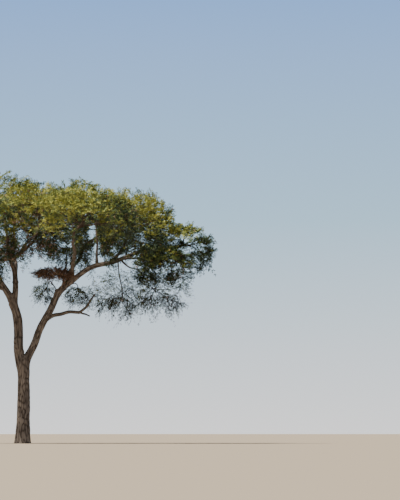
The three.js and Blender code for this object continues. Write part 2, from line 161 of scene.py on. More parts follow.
def makeLight():
    data = bpy.data.lights.new("sun", "SUN")
    data.energy = view["sunPower"]
    data.color = view["sunColor"]
    data.angle = math.radians(view["sunSoftness"])
    newPiece("sun", data).rotation_euler = Vector(view["sunFrom"]).to_track_quat("Z", "Y").to_euler()
    world = bpy.data.worlds.new("sky")
    bpy.context.scene.world = world
    world.use_nodes = True
    tree = world.node_tree
    fill = tree.nodes["Background"]
    fill.inputs["Color"].default_value = (*view["fillColor"], 1.0)
    fill.inputs["Strength"].default_value = view["fillPower"]
    way = outputOf(tree, "ShaderNodeTexCoord", output="Generated")
    rise = outputOf(tree, "ShaderNodeSeparateXYZ", {"Vector": way}, "Z")
    shades = ramp(tree, rise, view["backdrop"], view["backdropRises"])
    seen = outputOf(tree, "ShaderNodeMixShader", {
        "Fac": outputOf(tree, "ShaderNodeLightPath", output="Is Camera Ray"),
        1: fill.outputs["Background"],
        2: outputOf(tree, "ShaderNodeBackground", {"Color": shades}),
    })
    tree.links.new(seen, tree.nodes["World Output"].inputs["Surface"])


def makeFloor():
    reach = view["floorReach"]
    corners = [(-reach, -reach, 0), (reach, -reach, 0), (reach, reach, 0), (-reach, reach, 0)]
    mesh = newMesh("floor", corners, faces=[(0, 1, 2, 3)])
    mesh.materials.append(plainShader("paleFloor", view["floorColor"], roughness=0.95, specular=0.1))
    newPiece("floor", mesh)


makeCamera()
makeLight()
makeFloor()


# How the tree grows. This is the rule that its solids follow, carried to finer twigs.

habit = dict(
    handle=0.36,  # how straight a limb leaves and arrives, in its span
    sway=0.02, swayRates=(9, 11),
    hub=0.8,  # how far a stem runs towards the middle of its mass
    stemTaper=0.7, stemBend=0.4,
    twigFrom=(0.45, 0.5),  # where along a stem its arms begin, and over how much of it
    twigReach=0.84, twigTaper=0.4, lowest=-0.5,
    spaceGap=0.03,  # between neighbouring masses
    ringFoot=-0.44,  # where a ring mass is carried, in its own height
    floors=(0.58, 0.95),  # how far down dense and open masses reach, in their own height
    lowestFloor=0.95,  # as low as a mass may reach with its sag, in its own height
    sag=0.15,  # how much lower the leaves hang than a solid's flat underside, in its own height
    overFrame=0.18,  # how far twigs may pass the solids' outer box
)

trunk = dict(
    height=4.62, footRadius=0.372, forkRadius=0.292, topShare=0.55, shoulder=0.93,
    flare=0.105, flareHeight=0.33, toes=5, toeTurn=1.1, toeShape=(0.62, 0.38),
    lean=(-0.045, -0.02), bow=0.03,
)

# name: carrier, share of its length, tip, leave, arrive, radii
mainLimbs = dict(
    left_bough=("trunk", 0.8, (-0.59, 0.06, 7.33), (180, 66), (180, 62), (0.268, 0.222)),
    right_bough=("trunk", 0.84, (1.87, -0.06, 7.96), (0, 70), (0, 65), (0.205, 0.172)),
    middle_limb=("left_bough", 0.94, (-0.73, 0.06, 9.57), (0, 84), (180, 62), (0.165, 0.112)),
)
deadLimb = dict(
    stem=("right_bough", 0.58, (2.93, -0.15, 6.79), (0, 42), (0, -6), (0.088, 0.06)),
    rising=("stem", 0.97, (3.72, -0.29, 7.74), (0, 22), (0, 52), (0.054, 0.02)),
    spur=("stem", 0.94, (3.44, -0.09, 6.61), (0, -4), (0, -24), (0.036, 0.015)),
)

# Each mass: its middle, its size and its stem's foot, then its limb's carrier, share, leave,
# arrive and radii
def massOf(middle, size, foot, *limb, **others):
    return dict(middle=middle, size=size, foot=foot, limb=limb, **others)


crownMasses = dict(
    center=massOf((-1.3, 0.1, 12.59), (2.9, 2.7, 1.56), (0.25, 0, -0.79),
        "middle_limb", 0.96, 80, 82, (0.098, 0.062), bearing=180),
    inner_right=massOf((2.5, 0, 12.3), (2.2, 2.5, 1.42), (1.26, 0.05, -0.73),
        "right_arm", 0.385, 88, 87, (0.068, 0.046)),
    right=massOf((5.65, 0, 11.45), (2.75, 3.0, 1.76), (-0.45, 0.15, -1.18),
        "right_arm", 0.5, 52, 70, (0.088, 0.064), tilt=14, floor=0.74),
    tip_right=massOf((8.5, 0.1, 10.43), (1.76, 1.95, 0.98), (-0.88, 0, -0.33),
        "right_bough", 0.97, 44, 4, (0.165, 0.066), tilt=24, floor=0.9, limbName="right_arm"),
    left=massOf((-6.5, -1.15, 11.45), (2.45, 3.2, 1.45), (1.25, 0.32, -0.65),
        "left_bough", 0.96, 67, 14, (0.185, 0.074), bearing=190, tilt=13, limbName="left_limb"),
)
ringPlans = dict(
    inner=dict(level=11.9, size=(2.25, 2.6, 1.27), floor=0.58, tilt=4, foot=0.15, arrive=74,
        radii=(0.066, 0.044)),
    outer=dict(level=11.3, size=(2.5, 3.3, 1.45), floor=0.7, tilt=13, foot=0.5, arrive=17,
        radii=(0.112, 0.062)),
)
# ring, bearing, reach, lift, then the limb's carrier, share and leave
ringMasses = dict(
    back_right=("outer", 47, 6.55, 0.2, "right_arm", 0.07, 48),
    back=("outer", 98, 6.6, 0.35, "middle_limb", 0.5, 40),
    back_left=("outer", 145, 6.65, 0, "left_limb", 0.34, 40),
    front_left=("outer", 241, 6.5, 0, "left_limb", 0.2, 46),
    front_right=("outer", 302, 6.45, 0, "right_arm", 0.15, 46),
    inner_back_right=("inner", 71, 3.5, 0, "limb_back", 0.4, 50),
    inner_back_left=("inner", 136, 4.25, 0, "limb_back_left", 0.4, 56),
    inner_left=("inner", 184, 4.7, 0, "left_limb", 0.62, 56),
    inner_front_left=("inner", 227, 4.35, 0, "limb_front_left", 0.5, 58),
    inner_front_right=("inner", 287, 3.45, 0, "limb_mid_front", 0.45, 40),
)
lowerMasses = dict(
    under_right=massOf((7.4, -0.45, 9.42), (2.0, 1.9, 0.8), (-1.35, 0.1, 0.14),
        "right_arm", 0.6, 0, -20, (0.062, 0.044), floor=0.9),
    mid_front=massOf((0.3, -1.15, 11.0), (1.7, 1.3, 0.72), (0.33, 0.65, -0.38),
        "middle_limb", 0.97, 38, 50, (0.092, 0.06), floor=0.8),
    low_left=massOf((-2.35, -1.3, 9.98), (1.75, 1.5, 1.3), (-0.7, 0.3, -0.96),
        "left_limb", 0.13, 30, 55, (0.078, 0.052), bearing=180, floor=0.85),
    under_inner=massOf((2.35, 0.95, 10.25), (1.6, 1.5, 1.05), (-0.15, -0.15, -0.54),
        "right_arm", 0.035, 62, 80, (0.062, 0.04), plan="veil"),
    weep_mid=massOf((4.8, -0.1, 7.65), (1.35, 1.2, 1.4), (0.4, 0.04, -0.25),
        "right_arm", 0.56, -84, -80, (0.036, 0.022), plan="weeping"),
    weep_right=massOf((7.0, -0.1, 7.7), (1.65, 1.5, 1.33), (-0.8, 0, 1.01),
        "right_arm", 0.59, -70, -60, (0.048, 0.032), plan="weeping"),
    weep_left=massOf((-6.1, -0.9, 8.85), (1.65, 1.7, 1.15), (0.7, 0.3, 0.85),
        "left_limb", 0.86, -60, -70, (0.056, 0.038), bearing=180, plan="weeping"),
    weep_back=massOf((-3.5, 6.1, 8.75), (1.5, 1.5, 1.1), (-0.3, -0.65, 0.85),
        "limb_back_left", 0.8, -55, -70, (0.052, 0.036), bearing=120, plan="weeping"),
    weep_front=massOf((-3.6, -5.5, 8.65), (1.5, 1.4, 1.05), (0.3, 0.65, 0.8),
        "limb_front_left", 0.78, -50, -70, (0.052, 0.036), bearing=240, plan="weeping"),
    spray_left=massOf((1.02, 0.25, 7.78), (0.66, 0.64, 0.86), (0.3, -0.06, 0.6),
        "right_bough", 0.96, 55, -62, (0.034, 0.022), plan="wispy"),
    spray_right=massOf((2.85, 0.2, 7.62), (0.95, 0.75, 0.8), (-0.06, 0.06, 0.6),
        "right_arm", 0.1, 0, -70, (0.034, 0.022), plan="wispy"),
    dead_spray=massOf((1.6, -0.48, 8.74), (1.25, 0.56, 0.4), (0.56, 0.13, -0.15),
        "right_bough", 0.975, 60, 70, (0.044, 0.03), plan="bare"),
)


def heading(bearing, slope):
    turn, rise = math.radians(bearing), math.radians(slope)
    return np.array([math.cos(turn) * math.cos(rise), math.sin(turn) * math.cos(rise), math.sin(rise)])


def unit(vectors):
    return vectors / np.maximum(np.linalg.norm(vectors, axis=-1, keepdims=True), 1e-9)


def mixed(ends, share):
    return ends[0] + (ends[1] - ends[0]) * share


# The same run of numbers from 0 to 1 as the solids were grown with.
def seeded(seed):
    whole = 0xFFFFFFFF
    state = seed

    def draw():
        nonlocal state
        state = (state + 0x6D2B79F5) & whole
        value = (state ^ (state >> 15)) * (state | 1) & whole
        value ^= (value + ((value ^ (value >> 7)) * (value | 61) & whole)) & whole
        return ((value ^ (value >> 14)) & whole) / 4294967296

    return draw


# A centre line that is sampled evenly along its length.
class Line:
    steps = 200
    nudge = 0.001

    def __init__(self, radii):
        self.radii = radii
        self.turns = np.linspace(0, 1, self.steps + 1)
        lengths = np.linalg.norm(np.diff(self.curve(self.turns), axis=0), axis=1)
        self.travel = np.concatenate([[0], np.cumsum(lengths)])
        self.length = self.travel[-1]

    def at(self, shares):
        return self.curve(np.interp(np.atleast_1d(shares) * self.length, self.travel, self.turns))

    def along(self, shares):
        shares = np.clip(np.atleast_1d(shares), self.nudge, 1 - self.nudge)
        return unit(self.at(shares + self.nudge) - self.at(shares - self.nudge))

    def radiusAt(self, shares):
        return mixed(self.radii, shares)

    def spread(self, spacing, fewest):
        return np.linspace(0, 1, max(fewest, round(self.length / spacing)) + 1)


# A way to leave or arrive is a bearing and a slope, or a slope alone, towards the tip.
class LimbLine(Line):
    def __init__(self, carrier, share, tip, leave, arrive, radii, seed):
        start, tip = carrier.at(share)[0], np.array(tip, float)
        toTip = math.degrees(math.atan2(tip[1] - start[1], tip[0] - start[0]))
        leave, arrive = (heading(*way) if isinstance(way, tuple) else heading(toTip, way)
                         for way in (leave, arrive))
        span = np.linalg.norm(tip - start)
        handle = habit["handle"] * span
        self.knots = [start, start + leave * handle, tip - arrive * handle, tip]
        random = seeded(seed)
        self.swing = habit["sway"] * span
        self.phases = [2 * math.pi * random() for _ in range(2)]
        self.side = heading(toTip + 90, 0)
        super().__init__(radii)

    def curve(self, t):
        t = t[:, None]
        weights = ((1 - t) ** 3, 3 * t * (1 - t) ** 2, 3 * t * t * (1 - t), t ** 3)
        points = sum(weight * knot for weight, knot in zip(weights, self.knots))
        swing = self.swing * np.sin(math.pi * t) ** 2
        aside, upward = (swing * np.sin(rate * t + phase)
                         for rate, phase in zip(habit["swayRates"], self.phases))
        return points + aside * self.side + upward * (0, 0, 1)


class TrunkLine(Line):
    def curve(self, t):
        left = (1 - t) ** 2
        bow = trunk["bow"] * np.sin(math.pi * t)
        lean = trunk["lean"]
        return np.stack([lean[0] * left + bow, lean[1] * left, trunk["height"] * t], axis=1)


def bent(t, start, bend, end):
    return (1 - t) ** 2 * start + 2 * t * (1 - t) * bend + t * t * end


class BentLine(Line):
    def __init__(self, start, bend, end, radii):
        self.knots = [start, bend, end]
        super().__init__(radii)

    def curve(self, t):
        return bent(t[:, None], *self.knots)


def trunkRadius(height, angle):
    share = height / trunk["height"]
    taper = mixed((trunk["footRadius"], trunk["forkRadius"]), np.minimum(share / trunk["shoulder"], 1))
    past = np.maximum(0, (share - trunk["shoulder"]) / (1 - trunk["shoulder"]))
    rounding = mixed((1, trunk["topShare"]), past ** 2)
    even, wave = trunk["toeShape"]
    toe = even + wave * np.cos(trunk["toes"] * angle + trunk["toeTurn"])
    return taper * rounding + trunk["flare"] * toe * np.exp(-height / trunk["flareHeight"])


def everyMass():
    every = dict(crownMasses)
    for name, (ring, bearing, reach, lift, carrier, share, leave) in ringMasses.items():
        plan = ringPlans[ring]
        out = heading(bearing, 0)
        inward = -out[:2] * plan["foot"] * plan["size"][0]
        every[name] = massOf(
            (out[0] * reach, out[1] * reach, plan["level"] + lift), plan["size"],
            (*inward, habit["ringFoot"] * plan["size"][2]), carrier, share, leave, plan["arrive"],
            plan["radii"], bearing=bearing, tilt=plan["tilt"], floor=plan["floor"])
    every.update(lowerMasses)
    usual = {"bearing": 0, "tilt": 0, "plan": "dense"}
    return {name: {**usual, "limbName": f"limb_{name}", "floor": habit["floors"]["plan" in mass], **mass}
            for name, mass in every.items()}


def growLimbs():
    lines = {"trunk": TrunkLine((trunk["footRadius"], trunk["forkRadius"]))}
    for name, (carrier, *shape) in mainLimbs.items():
        lines[name] = LimbLine(lines[carrier], *shape, len(lines))
    waiting = list(masses.values())
    while waiting:
        mass = next(mass for mass in waiting if mass["limb"][0] in lines)
        waiting.remove(mass)
        carrier, share, *ways = mass["limb"]
        tip = np.add(mass["middle"], mass["foot"])
        lines[mass["limbName"]] = LimbLine(lines[carrier], share, tip, *ways, len(lines))
    seeds = {"stem": len(lines), "rising": 0, "spur": 1}
    dead = {}
    for name, (carrier, *shape) in deadLimb.items():
        dead[name] = LimbLine(dead.get(carrier) or lines[carrier], *shape, seeds[name])
    return lines, dead


masses = everyMass()
limbLines, deadLines = growLimbs()
report(f"{len(limbLines)} limbs grown")


# Bark: one fused skin over the trunk and the great limbs

bark = dict(
    limbs=("trunk", "left_bough", "right_bough", "middle_limb", "left_limb", "right_arm"),
    voxel=0.0215, sides=28,
    sink=0.12,  # how far the trunk's shell runs below the ground before its flat cut
    swell=0.0,  # how far the skin lies outside the solids
    collar=0.20,  # how far round a fork it swells
    furrowWidth=0.072, furrowDepth=0.022, lumpDepth=0.015,
    colors=((0.053, 0.044, 0.040), (0.156, 0.134, 0.121), (0.260, 0.230, 0.208)),
    patch=1.7, grain=45.0,
)
deadWood = dict(
    voxel=0.0105, sides=16, swell=0.024, collar=0.05,
    furrowWidth=0.03, furrowDepth=0.006, lumpDepth=0.003,
    colors=((0.055, 0.047, 0.042), (0.135, 0.118, 0.105), (0.235, 0.212, 0.190)),
    patch=4.0, grain=70.0,
)
relief = dict(
    ringSpacing=0.06, probeSpacing=0.05,
    furrowLength=4.8,  # in widths
    bend=1.6, bendGrain=0.35,  # how far and how often furrows wander
    slope=1.5, sharpness=1.6,  # of the ridges between them
    fineShare=0.28, fineGrain=(2.3, 2.3, 3.4),
    lumpLength=0.75, lumpGrain=1.1,
    fullRadius=0.2, leastWidth=0.5, leastScale=0.35,  # thinner limbs have a finer relief
    smoothing=1.5, smoothed=(0.12, 0.6), rounds=14,  # more at the forks
    blend=0.035,  # how softly one limb's relief passes into the next one's
    forkSwell=0.16,
    level=0.55,  # the height of relief that lies on the smooth skin
)
weathering = dict(
    roughness=0.92, colorsAt=(0.15, 0.5, 0.85),
    tones=((0.62, 0.60, 0.58), (1.18, 1.12, 1.05)), tonesAt=(0.35, 0.68), strength=0.8,
    bump=0.6, bumpDepth=0.01,
)


# Smooth noise from 0 to 1, the same on every run.
def noiseAt(points, seed):
    cell = np.floor(points).astype(np.int64)
    part = points - cell
    part = part * part * (3 - 2 * part)
    total = np.zeros(len(points))
    for corner in np.ndindex(2, 2, 2):
        spot = cell + corner
        mix = spot[:, 0] * 374761393 + spot[:, 1] * 668265263 + spot[:, 2] * 2147483647 + seed * 1274126177
        mix = (mix ^ (mix >> 13)) * 1274126177 & 0x7FFFFFFF
        value = ((mix ^ (mix >> 16)) & 0xFFFF) / 0xFFFF
        share = np.prod(np.where(corner, part, 1 - part), axis=1)
        total += value * share
    return total


def transportFrames(line, shares):
    along = line.along(shares)
    normal = unit(np.cross(along[0], (0, 1, 0)))
    normals = []
    for way in along:
        normal = unit(normal - way * normal.dot(way))
        normals.append(normal)
    return along, np.array(normals), np.cross(along, normals)


def shellRings(name, line, sides):
    shares = line.spread(relief["ringSpacing"], 3)
    angles = np.linspace(0, 2 * math.pi, sides, endpoint=False)
    circle = np.stack([np.cos(angles), np.sin(angles)], axis=1)
    if name == "trunk":
        rings = []
        for middle in line.at(shares):
            out = trunkRadius(middle[2], angles)[:, None] * circle
            rings.append(np.column_stack([middle[:2] + out, np.full(sides, middle[2])]))
        return np.array([rings[0] - (0, 0, bark["sink"]), *rings])
    _, normals, across = transportFrames(line, shares)
    offsets = circle[:, :1] * normals[:, None] + circle[:, 1:] * across[:, None]
    return line.at(shares)[:, None] + offsets * line.radiusAt(shares)[:, None, None]


def meshFromRings(name, shells):
    corners, faces = [], []
    for rings in shells:
        count, sides = rings.shape[:2]
        index = len(corners) + np.arange(count * sides).reshape(count, sides)
        corners.extend(rings.reshape(-1, 3))
        nextSide = np.roll(index, -1, axis=1)
        walls = np.stack([index[:-1], nextSide[:-1], nextSide[1:], index[1:]], axis=-1).reshape(-1, 4)
        faces += walls.tolist() + [index[0][::-1].tolist(), index[-1].tolist()]
    return newMesh(name, corners, faces=faces)


# The corners' places with "co", or their normals with "normal"
def vectorsOf(mesh, kind):
    vectors = np.empty(len(mesh.vertices) * 3, np.float32)
    mesh.vertices.foreach_get(kind, vectors)
    return vectors.reshape(-1, 3).astype(float)


def placeCorners(mesh, corners):
    mesh.vertices.foreach_set("co", corners.astype(np.float32).ravel())
    mesh.update()


def store(mesh, name, values, kind="FLOAT"):
    layer = mesh.attributes.new(name, kind, "POINT")
    values = values.astype(np.int32 if kind == "INT" else np.float32)
    layer.data.foreach_set("vector" if kind == "FLOAT_VECTOR" else "value", values.ravel())


# Swaps the piece's mesh for its evaluated one and takes the modifiers off.
def settle(piece):
    graph = bpy.context.evaluated_depsgraph_get()
    finished = bpy.data.meshes.new_from_object(piece.evaluated_get(graph))
    finished.name = piece.name
    rough = piece.data
    piece.modifiers.clear()
    piece.data = finished
    bpy.data.meshes.remove(rough)
    return finished


def dots(ones, others):
    return np.einsum("ij,ij->i", ones, others)


def treeOf(points):
    tree = KDTree(len(points))
    for i, point in enumerate(points):
        tree.insert(point, i)
    tree.balance()
    return tree


# Where each corner lies on a line: its share, its angle round, its distance out and the line's radius.
def placesOn(name, line, corners):
    shares = line.spread(relief["probeSpacing"], 6)
    points = line.at(shares)
    tree = treeOf(points)
    nearest = np.array([tree.find(corner)[1] for corner in corners])
    along, normals, across = (part[nearest] for part in transportFrames(line, shares))
    away = corners - points[nearest]
    slide = dots(away, along)
    share = np.clip(shares[nearest] + slide / line.length, 0, 1)
    inside = (share > 0) & (share < 1)
    away = away - np.where(inside, slide, 0)[:, None] * along
    angle = np.arctan2(dots(away, across), dots(away, normals))
    radius = line.radiusAt(share)
    if name == "trunk":
        radius = trunkRadius(np.clip(corners[:, 2], 0, trunk["height"]), angle)
    return share, angle, np.linalg.norm(away, axis=1), radius


# Long furrows and low lumps of bark, as a height from 0 to 1 and a swelling from -1 to 1.
def barkHeight(line, share, angle, radius, width, seed):
    around = radius / width
    travel = share * line.length / width
    east, north = np.cos(angle), np.sin(angle)
    spot = np.stack([east * around, north * around, travel / relief["furrowLength"]], axis=1)
    bend = noiseAt(spot * relief["bendGrain"] + 7, seed + 1) - 0.5
    coarse = noiseAt(spot + bend[:, None] * relief["bend"], seed + 2)
    fine = noiseAt(spot * relief["fineGrain"] + 11, seed + 3)
    ridges = 1 - np.abs(2 * coarse - 1) * relief["slope"]
    furrows = 1 - np.clip(ridges, 0, 1) ** relief["sharpness"]
    height = np.clip((1 - relief["fineShare"]) * furrows + relief["fineShare"] * fine, 0, 1)
    spot = np.stack([east, north, travel * width / relief["lumpLength"]], axis=1)
    return height, 2 * noiseAt(spot * relief["lumpGrain"] + 3, seed) - 1


def smoothNear(mesh, corners, weight, rounds):
    edges = np.empty(len(mesh.edges) * 2, np.int32)
    mesh.edges.foreach_get("vertices", edges)
    one, other = edges.reshape(-1, 2).T
    links = np.bincount(edges, minlength=len(corners))[:, None]
    for _ in range(rounds):
        total = np.stack([np.bincount(one, corners[other, axis], len(corners))
                          + np.bincount(other, corners[one, axis], len(corners))
                          for axis in range(3)], axis=1)
        corners = corners + weight[:, None] * (total / np.maximum(links, 1) - corners)
    return corners


# Fuses the lines' tubes into one skin, swells its forks and raises the bark on it.
def fusedSkin(name, lines, look, material):
    shells = [shellRings(limb, line, look["sides"]) for limb, line in lines.items()]
    piece = newPiece(name, meshFromRings(name, shells))
    remesh = piece.modifiers.new("fuse", "REMESH")
    remesh.mode = "VOXEL"
    remesh.voxel_size = look["voxel"]
    remesh.use_smooth_shade = True
    mesh = settle(piece)
    corners = vectorsOf(mesh, "co")
    gaps, heights, lumps, scales = [], [], [], []
    for i, (limb, line) in enumerate(lines.items()):
        share, angle, out, radius = placesOn(limb, line, corners)
        girth = radius.mean() / relief["fullRadius"]
        width = look["furrowWidth"] * np.clip(girth, relief["leastWidth"], 1.0)
        height, lump = barkHeight(line, share, angle, radius, width, 10 * i)
        gaps.append(out - radius)
        heights.append(height)
        lumps.append(lump)
        scales.append(np.clip(radius / relief["fullRadius"], relief["leastScale"], 1.0))
    gaps = np.array(gaps)
    nearest, second = np.sort(gaps, axis=0)[:2]
    fork = np.clip(1 - (second - nearest) / look["collar"], 0, 1)
    smoothed = np.clip(fork * relief["smoothing"], *relief["smoothed"])
    corners = smoothNear(mesh, corners, smoothed, relief["rounds"])
    placeCorners(mesh, corners)
    weights = np.exp(-((gaps - gaps.min(axis=0)) / relief["blend"]))
    weights /= weights.sum(axis=0)
    height, lump, scale = ((weights * np.array(values)).sum(axis=0) for values in (heights, lumps, scales))
    swell = fork ** 2 * look["collar"] * relief["forkSwell"]
    raised = look["lumpDepth"] * lump + look["furrowDepth"] * (height - relief["level"])
    rise = look["swell"] + swell + scale * raised
    placeCorners(mesh, corners + vectorsOf(mesh, "normal") * rise[:, None])
    store(mesh, "ridge", height)
    mesh.materials.append(material)
    return piece


def cutFlat(mesh):
    work = bmesh.new()
    work.from_mesh(mesh)
    everything = work.verts[:] + work.edges[:] + work.faces[:]
    bmesh.ops.bisect_plane(work, geom=everything, plane_co=(0, 0, 0), plane_no=(0, 0, 1), clear_inner=True)
    rim = [edge for edge in work.edges if edge.is_boundary]
    bmesh.ops.contextual_create(work, geom=rim)
    work.to_mesh(mesh)
    work.free()


def noiseOutput(tree, where, scale, detail):
    return outputOf(tree, "ShaderNodeTexNoise", {"Vector": where, "Scale": scale, "Detail": detail}, "Fac")


# Dark in the furrows and pale on the ridges, weathered in patches, with a fine grain.
def barkMaterial(name, look):
    material = plainShader(name, look["colors"][1], weathering["roughness"], specular=0.2)
    tree = material.node_tree
    where = outputOf(tree, "ShaderNodeTexCoord", output="Object")
    ridge = outputOf(tree, "ShaderNodeAttribute", output="Fac", attribute_name="ridge")
    patches = noiseOutput(tree, where, look["patch"], detail=4.0)
    color = outputOf(tree, "ShaderNodeMix", {
        "Factor": weathering["strength"],
        "A": ramp(tree, ridge, look["colors"], weathering["colorsAt"]),
        "B": ramp(tree, patches, weathering["tones"], weathering["tonesAt"]),
    }, "Result", data_type="RGBA", blend_type="MULTIPLY")
    grain = outputOf(tree, "ShaderNodeBump", {
        "Strength": weathering["bump"],
        "Distance": weathering["bumpDepth"],
        "Height": noiseOutput(tree, where, look["grain"], detail=6.0),
    })
    shader = tree.nodes["Principled BSDF"]
    tree.links.new(color, shader.inputs["Base Color"])
    tree.links.new(grain, shader.inputs["Normal"])
    return material


barkFinish = barkMaterial("furrowedBark", bark)
deadFinish = barkMaterial("weatheredWood", deadWood)

barkPiece = fusedSkin("bark", {name: limbLines[name] for name in bark["limbs"]}, bark, barkFinish)
cutFlat(barkPiece.data)
report(f"bark fused, {len(barkPiece.data.polygons)} faces")
deadPiece = fusedSkin("dead_limb_wood", deadLines, deadWood, deadFinish)
report(f"dead limb fused, {len(deadPiece.data.polygons)} faces")


# Tubes along strands, by Geometry Nodes

def newTree(name, inputs):
    tree = bpy.data.node_groups.new(name, "GeometryNodeTree")
    for label, kind, value in [("Geometry", "Geometry", None), *inputs]:
        socket = tree.interface.new_socket(label, in_out="INPUT", socket_type=f"NodeSocket{kind}")
        if value is not None:
            socket.default_value = value
    tree.interface.new_socket("Geometry", in_out="OUTPUT", socket_type="NodeSocketGeometry")
    return tree, tree.nodes.new("NodeGroupInput").outputs


def giveResult(tree, geometry):
    tree.links.new(geometry, tree.nodes.new("NodeGroupOutput").inputs["Geometry"])
    return tree


def namedField(tree, name, kind):
    return outputOf(tree, "GeometryNodeInputNamedAttribute", {"Name": name}, data_type=kind)


# Sweeps a round section of the strands' own radius along them.
def strandTree():
    tree, given = newTree("strandTubes", [("Sides", "Int", 6), ("Bark", "Material", None)])
    curve = outputOf(tree, "GeometryNodeMeshToCurve", {"Mesh": given["Geometry"]})
    section = outputOf(tree, "GeometryNodeCurvePrimitiveCircle",
                       {"Resolution": given["Sides"], "Radius": 1.0})
    tubes = outputOf(tree, "GeometryNodeCurveToMesh", {
        "Curve": curve, "Profile Curve": section, "Scale": namedField(tree, "thick", "FLOAT"),
        "Fill Caps": True,
    })
    smooth = outputOf(tree, "GeometryNodeSetShadeSmooth", {"Geometry": tubes})
    real = outputOf(tree, "GeometryNodeRealizeInstances", {"Geometry": smooth})
    return giveResult(tree, outputOf(tree, "GeometryNodeSetMaterial",
                                     {"Geometry": real, "Material": given["Bark"]}))


# Grows a mesh's geometry by a node tree and keeps the result as a plain mesh.
def grownPiece(name, mesh, tree, values):
    piece = newPiece(name, mesh)
    modifier = piece.modifiers.new(name, "NODES")
    modifier.node_group = tree
    for item in tree.interface.items_tree:
        if item.name in values:
            modifier[item.identifier] = values[item.name]
    settle(piece)
    return piece


def tubesAlong(name, strands, sides, material):
    points, radii = (np.concatenate(parts) for parts in zip(*strands))
    ends = np.cumsum([len(path) for path, _ in strands]) - 1
    index = np.delete(np.arange(len(points)), ends)
    mesh = newMesh(name, points, np.stack([index, index + 1], axis=1).tolist())
    store(mesh, "thick", radii)
    return grownPiece(name, mesh, strandNodes, {"Sides": sides, "Bark": material})


strandNodes = strandTree()


# Branches: every other limb, as one piece with its own collars and bark

branch = dict(
    sides=12, spacing=0.055,
    collar=0.55, collarLength=0.16,  # where it leaves its carrier
    wander=0.05, wanderRate=1.9,
    furrowWidth=0.05, furrowDepth=0.010, furrowGrain=(1, 1, 0.45), fineGrain=2.1,
    fineShare=0.4, lumpDepth=0.012, lumpLength=0.32,
)


def branchStrand(line, seed):
    shares = line.spread(branch["spacing"], 6)
    travel = shares * line.length
    points = line.at(shares)
    held = np.sin(math.pi * shares) ** 0.5
    for axis in range(3):
        spot = np.stack([travel * branch["wanderRate"], np.full(len(shares), seed * 3.7),
                         np.full(len(shares), axis)], axis=1)
        points[:, axis] += (noiseAt(spot, seed=40 + seed) - 0.5) * branch["wander"] * held
    collar = 1 + branch["collar"] * np.exp(-travel / branch["collarLength"])
    return points, line.radiusAt(shares) * collar


def makeBranches():
    strands = [branchStrand(limbLines[name], i) for i, name in enumerate(branchNames)]
    piece = tubesAlong("branches", strands, branch["sides"], barkFinish)
    mesh = piece.data
    corners = vectorsOf(mesh, "co")
    spot = corners / branch["furrowWidth"]
    fine = branch["fineShare"] * noiseAt(spot * branch["fineGrain"], seed=4)
    furrows = (1 - branch["fineShare"]) * noiseAt(spot * branch["furrowGrain"], seed=3)
    height = np.clip(furrows + fine, 0, 1)
    lump = noiseAt(corners / branch["lumpLength"], seed=5) - 0.5
    rise = branch["lumpDepth"] * lump + branch["furrowDepth"] * (height - 0.5)
    placeCorners(mesh, corners + vectorsOf(mesh, "normal") * rise[:, None])
    store(mesh, "ridge", height)
    return piece


branchNames = [name for name in limbLines if name not in bark["limbs"]]
branchPiece = makeBranches()
report(f"branches swept, {len(branchPiece.data.polygons)} faces")


# The room of each mass: an ellipsoid cut by planes

class Space:
    def __init__(self, mass):
        self.middle = np.array(mass["middle"], float)
        self.size = np.array(mass["size"])
        bearing, tilt = mass["bearing"], mass["tilt"]
        self.axes = np.array([heading(bearing, -tilt), heading(bearing + 90, 0), heading(bearing, 90 - tilt)])
        floor = min(habit["lowestFloor"], mass["floor"] + habit["sag"])
        self.planes = [(np.array([0, 0, -1.0]), floor * self.size[2])]

    def radiusTo(self, ways):
        return 1 / np.linalg.norm(ways @ self.axes.T / self.size, axis=-1)

    def reach(self, ways):
        reach = self.radiusTo(ways)
        for normal, distance in self.planes:
            rate = ways @ normal
            limit = np.where(rate > 1e-6, distance / np.maximum(rate, 1e-6), np.inf)
            reach = np.minimum(reach, limit)
        return reach

    def contains(self, points, slack):
        away = points - self.middle
        return np.linalg.norm(away, axis=-1) <= self.reach(unit(away)) + slack

    # Ways spread evenly, from 1 straight up down to the lowest, where -1 is straight down
    def ways(self, count, lowest, turn):
        index = np.arange(count)
        rise = 1 - (index + 0.5) / count * (1 - lowest)
        level = np.sqrt(1 - rise * rise)
        angle = index * math.pi * (3 - math.sqrt(5)) + turn
        parts = np.stack([level * np.cos(angle), level * np.sin(angle), rise], axis=1)
        return unit(parts * self.size @ self.axes)


def partSpaces(one, other):
    way = other.middle - one.middle
    apart = np.linalg.norm(way)
    if apart > max(one.size) + max(other.size):
        return
    way = way / apart
    near, far = one.radiusTo(way), other.radiusTo(way)
    share = apart * near / (near + far)
    one.planes.append((way, share - habit["spaceGap"] / 2))
    other.planes.append((-way, apart - share - habit["spaceGap"] / 2))


spaces = {name: Space(mass) for name, mass in masses.items()}
names = list(spaces)
for one, other in combinations(spaces.values(), 2):
    partSpaces(one, other)


# Foliage: arms from the stem, boughlets on the arms, a pad of fanned twigs on each boughlet,
# and tufts of leaves along those. Open masses have fewer, hanging twigs.

